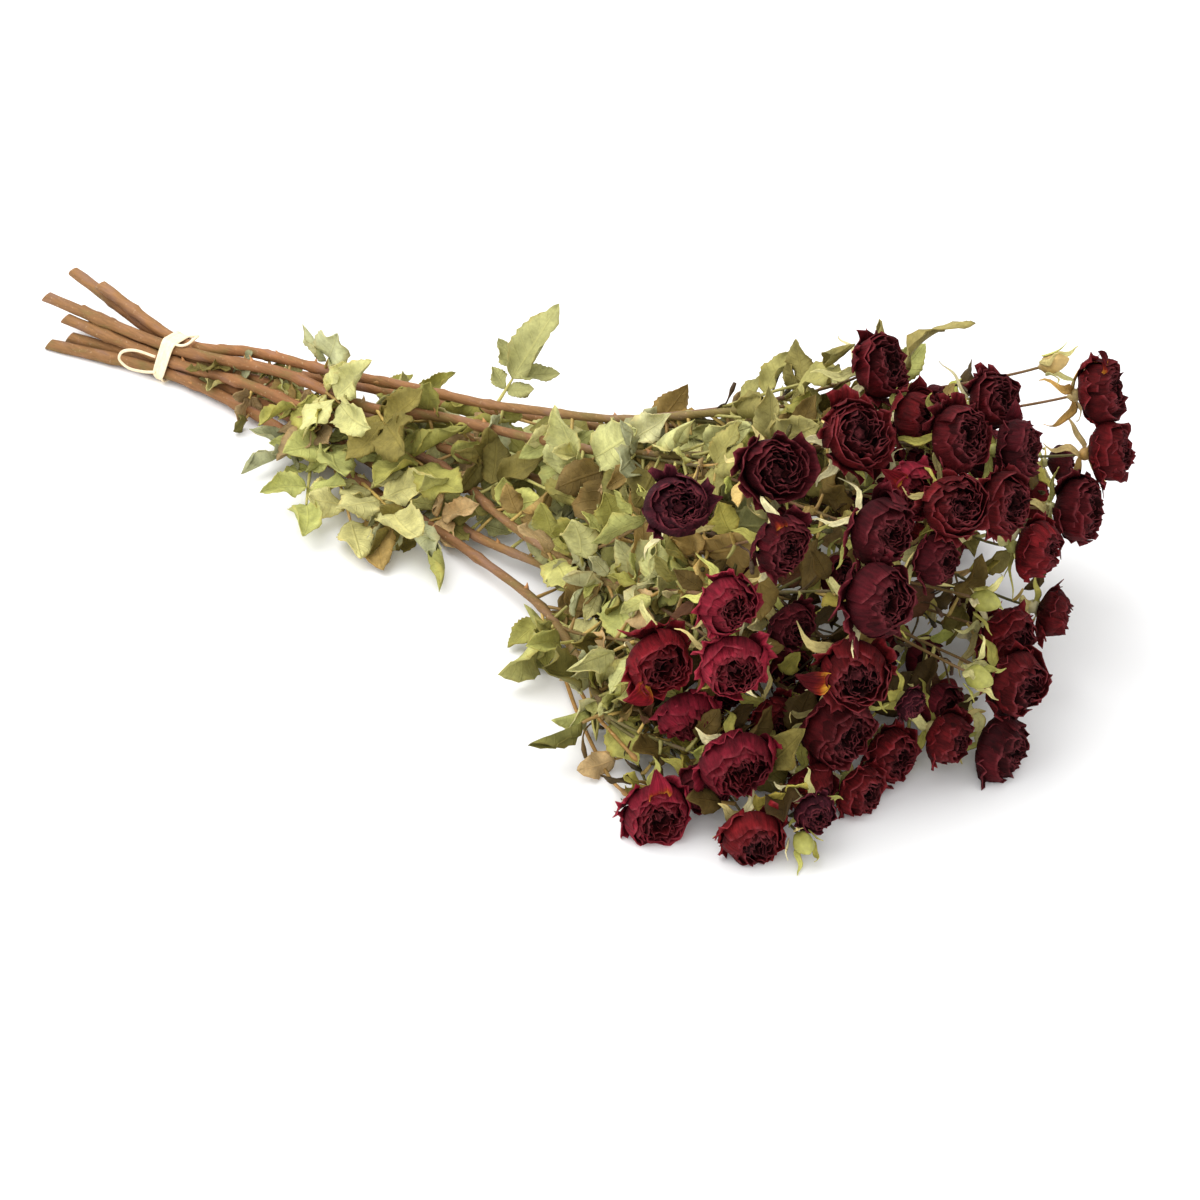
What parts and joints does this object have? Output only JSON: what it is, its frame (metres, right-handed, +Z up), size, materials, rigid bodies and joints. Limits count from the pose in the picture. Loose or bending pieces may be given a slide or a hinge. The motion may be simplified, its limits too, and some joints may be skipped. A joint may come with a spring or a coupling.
{
  "type": "bunch of roses",
  "caption": "Tied bunch of dried spray roses lying on its side: thorned woody stems with leaves, held by a rubber band, fan out to small layered blooms on hips with sepals.",
  "frame": {"origin": "under the middle of the bunch's bounding box, on the surface that it lies on", "axes": "+X along the stems from their cut ends towards the blooms, +Z up from the surface, +Y to the left of the stems seen from above"},
  "size_m": [0.571, 0.2718, 0.1463],
  "materials": {
    "rubber": "matte cream rubber",
    "wood_and_leaf": "dry woody stems, twigs, leaves and sepals, matte olive to pale green",
    "petals": "dried petals, matte dark red"
  },
  "bodies": {
    "root": {"rubber_band": "rubber", "spray_1": "wood_and_leaf", "spray_2": "wood_and_leaf", "spray_3": "wood_and_leaf", "spray_4": "wood_and_leaf", "spray_5": "wood_and_leaf", "spray_6": "wood_and_leaf", "spray_7": "wood_and_leaf", "spray_8": "wood_and_leaf", "rose_1_1": "petals", "rose_1_2": "petals", "rose_1_3": "petals", "rose_1_4": "petals", "rose_1_5": "petals", "rose_1_6": "petals", "rose_2_1": "petals", "rose_2_2": "petals", "rose_2_3": "petals", "rose_2_4": "petals", "rose_2_5": "petals", "rose_2_6": "petals", "rose_3_1": "petals", "rose_3_2": "petals", "rose_3_3": "petals", "rose_3_4": "petals", "rose_3_5": "petals", "rose_3_6": "petals", "rose_4_1": "petals", "rose_4_2": "petals", "rose_4_3": "petals", "rose_4_4": "petals", "rose_4_5": "petals", "rose_4_6": "petals", "rose_4_7": "petals", "rose_5_1": "petals", "rose_5_2": "petals", "rose_5_3": "petals", "rose_5_4": "petals", "rose_5_5": "petals", "rose_5_6": "petals", "rose_6_1": "petals", "rose_6_2": "petals", "rose_6_3": "petals", "rose_6_4": "petals", "rose_6_5": "petals", "rose_6_6": "petals", "rose_6_7": "petals", "rose_7_1": "petals", "rose_7_2": "petals", "rose_7_3": "petals", "rose_7_4": "petals", "rose_7_5": "petals", "rose_8_1": "petals", "rose_8_2": "petals", "rose_8_3": "petals", "rose_8_4": "petals", "rose_8_5": "petals"}
  },
  "joints": []
}
